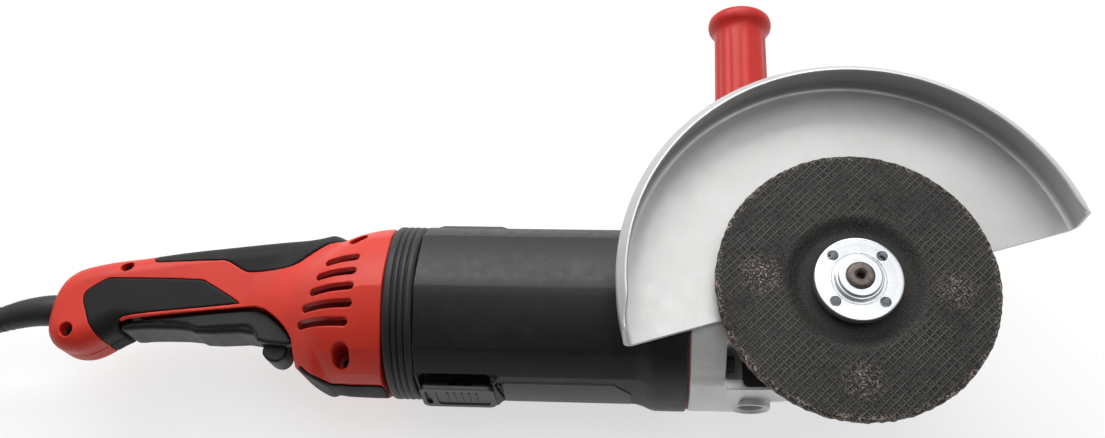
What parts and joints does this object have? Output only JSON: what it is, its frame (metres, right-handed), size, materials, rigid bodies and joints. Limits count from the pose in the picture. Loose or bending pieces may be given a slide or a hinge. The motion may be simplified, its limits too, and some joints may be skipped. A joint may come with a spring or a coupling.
{
  "type": "angle grinder",
  "caption": "Two-handed angle grinder with a swivelling rear handle, paddle trigger, side handle, turnable guard and a small depressed-centre grinding disc, lying on its back.",
  "frame": {"origin": "where the spindle axis meets the flat back of the gear head, on which the tool lies", "axes": "+Z along the spindle from the flat back towards the disc, +X along the motor from the rear handle towards the gear head, +Y along the side handle"},
  "size_m": [0.8233, 0.2716, 0.1265],
  "materials": {
    "cast_aluminium": "bead blasted casting",
    "red_gasket": "thin red seal",
    "black_metal": "black coated",
    "zinc_steel": "bright zinc plated",
    "dark_steel": "blackened steel",
    "bearing_steel": "ground",
    "guard_steel": "satin silver powder coat",
    "abrasive": "glass mesh over dark resin-bonded grit",
    "housing_black": "fine satin glass-filled nylon",
    "label_black": "plain dark label",
    "brass": "plain",
    "carbon": "pressed carbon",
    "lamination": "stacked electrical steel",
    "copper": "enamelled copper wire",
    "handle_red": "fine satin red nylon",
    "soft_black": "soft-touch overmould",
    "trigger_black": "satin black nylon",
    "button_red": "gloss",
    "cord_rubber": "dull black rubber lead",
    "tie_strap": "woven strap"
  },
  "bodies": {
    "head": {"gear_head": "cast_aluminium", "head_gasket": "red_gasket", "bearing_plate": "black_metal", "bearing_plate_screws": "zinc_steel", "head_screws": "zinc_steel", "spindle_ball_bearing": "bearing_steel", "spindle_needle_bearing": "bearing_steel", "motor_housing": "housing_black", "label_plate": "label_black", "brush_cover_left": "housing_black", "brush_cover_right": "housing_black", "brush_holders": "brass", "carbon_brushes": "carbon", "stator_core": "lamination", "field_coils": "copper", "air_baffle": "housing_black", "rotor_front_bearing": "bearing_steel", "rotor_rear_bearing": "bearing_steel", "damping_ring": "soft_black", "swivel_ring": "housing_black", "cord_lead": "cord_rubber", "cord_coil": "cord_rubber", "cord_tail": "cord_rubber", "coil_tie": "tie_strap", "plug": "cord_rubber", "plug_pins": "zinc_steel", "side_handle_grip": "handle_red", "side_handle_stud": "zinc_steel", "side_handle_damper": "soft_black"},
    "spindle_set": {"spindle": "dark_steel", "crown_gear": "dark_steel", "inner_flange": "zinc_steel", "grinding_disc": "abrasive", "clamp_nut": "zinc_steel"},
    "rotor": {"armature_shaft": "dark_steel", "armature_core": "lamination", "armature_windings": "copper", "commutator": "copper", "fan": "housing_black", "pinion": "dark_steel"},
    "lock_button": {"lock_button": "button_red", "lock_spring": "zinc_steel"},
    "guard": {"guard": "guard_steel", "guard_collar": "guard_steel", "guard_clamp_band": "zinc_steel"},
    "guard_lever": {"guard_clamp_lever": "zinc_steel"},
    "rear_handle": {"handle_shell_near": "handle_red", "handle_shell_far": "handle_red", "soft_grip_near": "soft_black", "soft_grip_far": "soft_black", "soft_grip_top": "soft_black", "soft_strip": "soft_black", "handle_screw_set": "black_metal", "trigger_pin": "zinc_steel", "switch_unit": "housing_black", "cable_clamp": "housing_black", "cord_sleeve": "cord_rubber"},
    "trigger": {"trigger": "trigger_black"},
    "lock_off_lever": {"lock_off_lever": "trigger_black"}
  },
  "joints": [
    {"name": "spindle_spin", "type": "hinge", "parent": "head", "child": "spindle_set", "pos_m": [0, 0, 0.05], "axis": [0, 0, 1], "continuous": true},
    {"name": "rotor_spin", "type": "hinge", "parent": "head", "child": "rotor", "pos_m": [-0.13, 0, 0.05], "axis": [1, 0, 0], "continuous": true},
    {"name": "lock_button_press", "type": "slide", "parent": "head", "child": "lock_button", "axis": [0, 0, 1], "range_m": [0, 0.005], "stiffness_N_per_m": 900, "deforming": ["lock_spring"]},
    {"name": "guard_turn", "type": "hinge", "parent": "head", "child": "guard", "pos_m": [0, 0, 0.05], "axis": [0, 0, 1], "range_deg": [-17, 163]},
    {"name": "guard_lever_swing", "type": "hinge", "parent": "guard", "child": "guard_lever", "pos_m": [0.01982, -0.03577, 0.0885], "axis": [0, 0, 1], "range_deg": [-90, 0]},
    {"name": "handle_swivel", "type": "hinge", "parent": "head", "child": "rear_handle", "pos_m": [-0.25, 0, 0.05], "axis": [1, 0, 0], "range_deg": [-180, 0]},
    {"name": "trigger_press", "type": "hinge", "parent": "rear_handle", "child": "trigger", "pos_m": [-0.404, -0.008, 0.05], "axis": [0, 0, 1], "range_deg": [0, 5], "stiffness_Nm_per_rad": 4},
    {"name": "lock_off_swing", "type": "hinge", "parent": "trigger", "child": "lock_off_lever", "pos_m": [-0.316, -0.019, 0.05], "axis": [0, 0, 1], "range_deg": [0, 10], "stiffness_Nm_per_rad": 0.15}
  ],
  "couplings": [
    {"joint": "rotor_spin", "follows": "spindle_spin", "ratio": 4}
  ]
}
